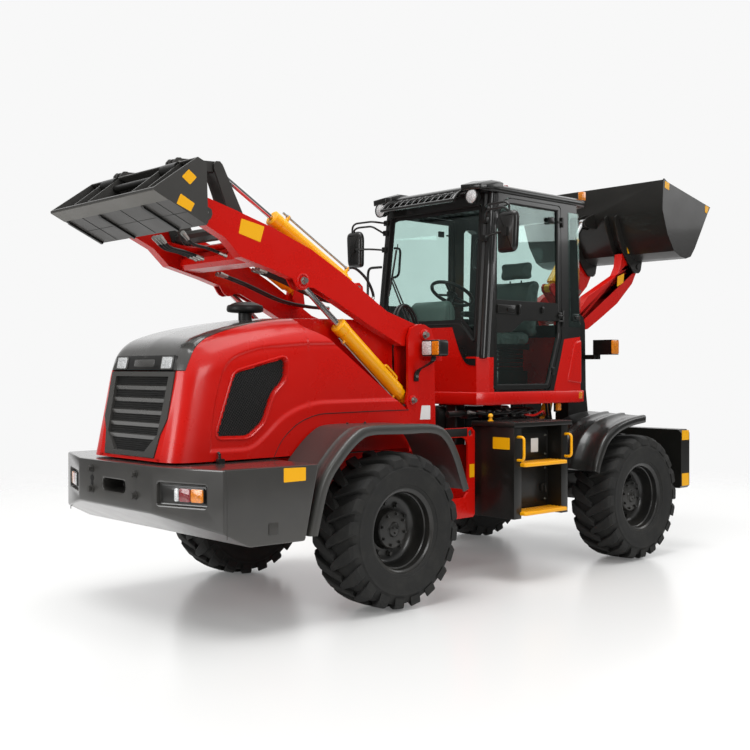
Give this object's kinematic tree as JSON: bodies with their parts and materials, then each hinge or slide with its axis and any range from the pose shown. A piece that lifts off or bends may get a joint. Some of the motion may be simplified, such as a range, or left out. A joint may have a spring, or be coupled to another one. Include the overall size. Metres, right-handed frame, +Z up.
{
  "type": "electric loader",
  "caption": "Two-ended wheel loader with a hinged frame, enclosed cab, a narrow bucket on a boom over the hood and a wide bucket on a short boom behind the cab.",
  "frame": {"origin": "middle of the machine's overall length and width, on the ground under the wheels", "axes": "+X towards the hood, +Y to the left of a driver who looks over the hood, +Z up"},
  "size_m": [5.87, 2.0808, 3.262],
  "materials": {
    "red_paint": "glossy red enamel on sheet steel and weldments",
    "grey_paint": "satin dark grey paint",
    "black_plastic": "moulded black plastic",
    "yellow_paint": "yellow enamel on the cylinders",
    "chromed_rod": "hard chrome, polished",
    "tyre_rubber": "black rubber",
    "green_glass": "pale green tint",
    "seat_cover": "dark woven cover"
  },
  "bodies": {
    "chassis": {"main_frame": "red_paint", "counterweight": "grey_paint", "hood": "red_paint", "hood_cap": "grey_paint", "grille": "black_plastic", "battery_pack": "grey_paint", "air_intake": "black_plastic", "front_fender_left": "grey_paint", "front_fender_right": "grey_paint", "loader_tower": "red_paint", "front_axle": "grey_paint", "side_box_left": "grey_paint", "side_box_right": "grey_paint", "cab_body": "red_paint", "cab_frame": "grey_paint", "cab_roof": "grey_paint", "windshield": "green_glass", "rear_window": "green_glass", "seat": "seat_cover", "console": "black_plastic", "mirror_left": "black_plastic", "mirror_right": "black_plastic", "headlamp_left": "black_plastic", "headlamp_right": "black_plastic"},
    "rear_chassis": {"rear_frame": "grey_paint", "rear_axle": "grey_paint", "rear_fender_left": "grey_paint", "rear_fender_right": "grey_paint"},
    "front_left_wheel": {"front_left_tyre": "tyre_rubber", "front_left_rim": "grey_paint"},
    "front_right_wheel": {"front_right_tyre": "tyre_rubber", "front_right_rim": "grey_paint"},
    "rear_left_wheel": {"rear_left_tyre": "tyre_rubber", "rear_left_rim": "grey_paint"},
    "rear_right_wheel": {"rear_right_tyre": "tyre_rubber", "rear_right_rim": "grey_paint"},
    "left_door": {"door_left": "grey_paint", "door_glass_left": "green_glass"},
    "right_door": {"door_right": "grey_paint", "door_glass_right": "green_glass"},
    "front_boom_arms": {"front_boom": "red_paint"},
    "front_bucket_body": {"front_bucket": "grey_paint"},
    "levers": {"tilt_levers": "grey_paint"},
    "links": {"bucket_link_left": "grey_paint", "bucket_link_right": "grey_paint"},
    "tilt_barrels": {"tilt_barrel_left": "yellow_paint", "tilt_barrel_right": "yellow_paint"},
    "tilt_rods": {"tilt_rod_left": "chromed_rod", "tilt_rod_right": "chromed_rod"},
    "lift_barrels": {"lift_barrel_left": "yellow_paint", "lift_barrel_right": "yellow_paint"},
    "lift_rods": {"lift_rod_left": "chromed_rod", "lift_rod_right": "chromed_rod"},
    "rear_boom_arms": {"rear_boom": "red_paint"},
    "rear_bucket_body": {"rear_bucket": "grey_paint"},
    "rear_tilt_barrel_body": {"rear_tilt_barrel": "yellow_paint"},
    "rear_tilt_rod_body": {"rear_tilt_rod": "chromed_rod"},
    "rear_lift_barrel_body": {"rear_lift_barrel": "yellow_paint"},
    "rear_lift_rod_body": {"rear_lift_rod": "chromed_rod"}
  },
  "joints": [
    {"name": "frame_steer", "type": "hinge", "parent": "chassis", "child": "rear_chassis", "pos_m": [-0.695, 0, 0.7], "axis": [0, 0, 1], "range_deg": [-15, 15]},
    {"name": "front_left_wheel_spin", "type": "hinge", "parent": "chassis", "child": "front_left_wheel", "pos_m": [1.28, 0.833, 0.51854], "axis": [0, 1, 0], "continuous": true},
    {"name": "front_right_wheel_spin", "type": "hinge", "parent": "chassis", "child": "front_right_wheel", "pos_m": [1.28, -0.833, 0.51854], "axis": [0, 1, 0], "continuous": true},
    {"name": "rear_left_wheel_spin", "type": "hinge", "parent": "rear_chassis", "child": "rear_left_wheel", "pos_m": [-1.47, 0.833, 0.51854], "axis": [0, 1, 0], "continuous": true},
    {"name": "rear_right_wheel_spin", "type": "hinge", "parent": "rear_chassis", "child": "rear_right_wheel", "pos_m": [-1.47, -0.833, 0.51854], "axis": [0, 1, 0], "continuous": true},
    {"name": "left_door_hinge", "type": "hinge", "parent": "chassis", "child": "left_door", "pos_m": [-0.895, 0.625, 2.1], "axis": [0, 0, 1], "range_deg": [0, 80]},
    {"name": "right_door_hinge", "type": "hinge", "parent": "chassis", "child": "right_door", "pos_m": [-0.895, -0.625, 2.1], "axis": [0, 0, -1], "range_deg": [0, 80]},
    {"name": "front_boom_lift", "type": "hinge", "parent": "chassis", "child": "front_boom_arms", "pos_m": [0.585, 0, 1.824], "axis": [0, -1, 0], "range_deg": [-8, 30]},
    {"name": "front_bucket_tilt", "type": "hinge", "parent": "front_boom_arms", "child": "front_bucket_body", "pos_m": [2.48, 0, 2.53], "axis": [0, 1, 0], "range_deg": [-35, 45]},
    {"name": "lever_swing", "type": "hinge", "parent": "front_boom_arms", "child": "levers", "pos_m": [2.125, 0, 2.47], "axis": [0, 1, 0], "range_deg": [-30, 42]},
    {"name": "link_swing", "type": "hinge", "parent": "levers", "child": "links", "pos_m": [2.305, 0, 2.85], "axis": [0, 1, 0], "range_deg": [-45, 32]},
    {"name": "tilt_barrel_swing", "type": "hinge", "parent": "front_boom_arms", "child": "tilt_barrels", "pos_m": [1.125, 0, 2.15], "axis": [0, 1, 0], "range_deg": [-9, 12]},
    {"name": "tilt_rod_slide", "type": "slide", "parent": "tilt_barrels", "child": "tilt_rods", "axis": [0.8601, 0, 0.5102], "range_m": [-0.1, 0.14]},
    {"name": "lift_barrel_swing", "type": "hinge", "parent": "chassis", "child": "lift_barrels", "pos_m": [0.705, 0, 1.35], "axis": [0, -1, 0], "range_deg": [-8, 26]},
    {"name": "lift_rod_slide", "type": "slide", "parent": "lift_barrels", "child": "lift_rods", "axis": [0.774, 0, 0.6332], "range_m": [-0.07, 0.22]},
    {"name": "rear_boom_lift", "type": "hinge", "parent": "rear_chassis", "child": "rear_boom_arms", "pos_m": [-1.495, 0, 1.97], "axis": [0, 1, 0], "range_deg": [-45, 20]},
    {"name": "rear_bucket_tilt", "type": "hinge", "parent": "rear_boom_arms", "child": "rear_bucket_body", "pos_m": [-2.44, 0, 2.53], "axis": [0, -1, 0], "range_deg": [-5, 50]},
    {"name": "rear_tilt_barrel_swing", "type": "hinge", "parent": "rear_boom_arms", "child": "rear_tilt_barrel_body", "pos_m": [-1.515, 0, 2.3], "axis": [0, -1, 0], "range_deg": [-3, 12]},
    {"name": "rear_tilt_rod_slide", "type": "slide", "parent": "rear_tilt_barrel_body", "child": "rear_tilt_rod_body", "axis": [-0.6292, 0, 0.7772], "range_m": [-0.06, 0.5]},
    {"name": "rear_lift_barrel_swing", "type": "hinge", "parent": "rear_chassis", "child": "rear_lift_barrel_body", "pos_m": [-1.455, 0, 1.12], "axis": [0, 1, 0], "range_deg": [-4, 8]},
    {"name": "rear_lift_rod_slide", "type": "slide", "parent": "rear_lift_barrel_body", "child": "rear_lift_rod_body", "axis": [-0.2772, 0, 0.9608], "range_m": [-0.17, 0.08]}
  ],
  "couplings": [
    {"joint": "lever_swing", "follows": "front_bucket_tilt", "ratio": 0.77},
    {"joint": "link_swing", "follows": "front_bucket_tilt", "ratio": -0.8},
    {"joint": "tilt_barrel_swing", "follows": "front_bucket_tilt", "ratio": 0.2},
    {"joint": "tilt_rod_slide", "follows": "front_bucket_tilt", "m_per_rad": 0.15},
    {"joint": "lift_barrel_swing", "follows": "front_boom_lift", "ratio": 0.79},
    {"joint": "lift_rod_slide", "follows": "front_boom_lift", "m_per_rad": 0.39},
    {"joint": "rear_tilt_barrel_swing", "follows": "rear_bucket_tilt", "ratio": 0.2},
    {"joint": "rear_tilt_rod_slide", "follows": "rear_bucket_tilt", "m_per_rad": 0.53},
    {"joint": "rear_lift_barrel_swing", "follows": "rear_boom_lift", "ratio": -0.08},
    {"joint": "rear_lift_rod_slide", "follows": "rear_boom_lift", "m_per_rad": 0.18}
  ]
}
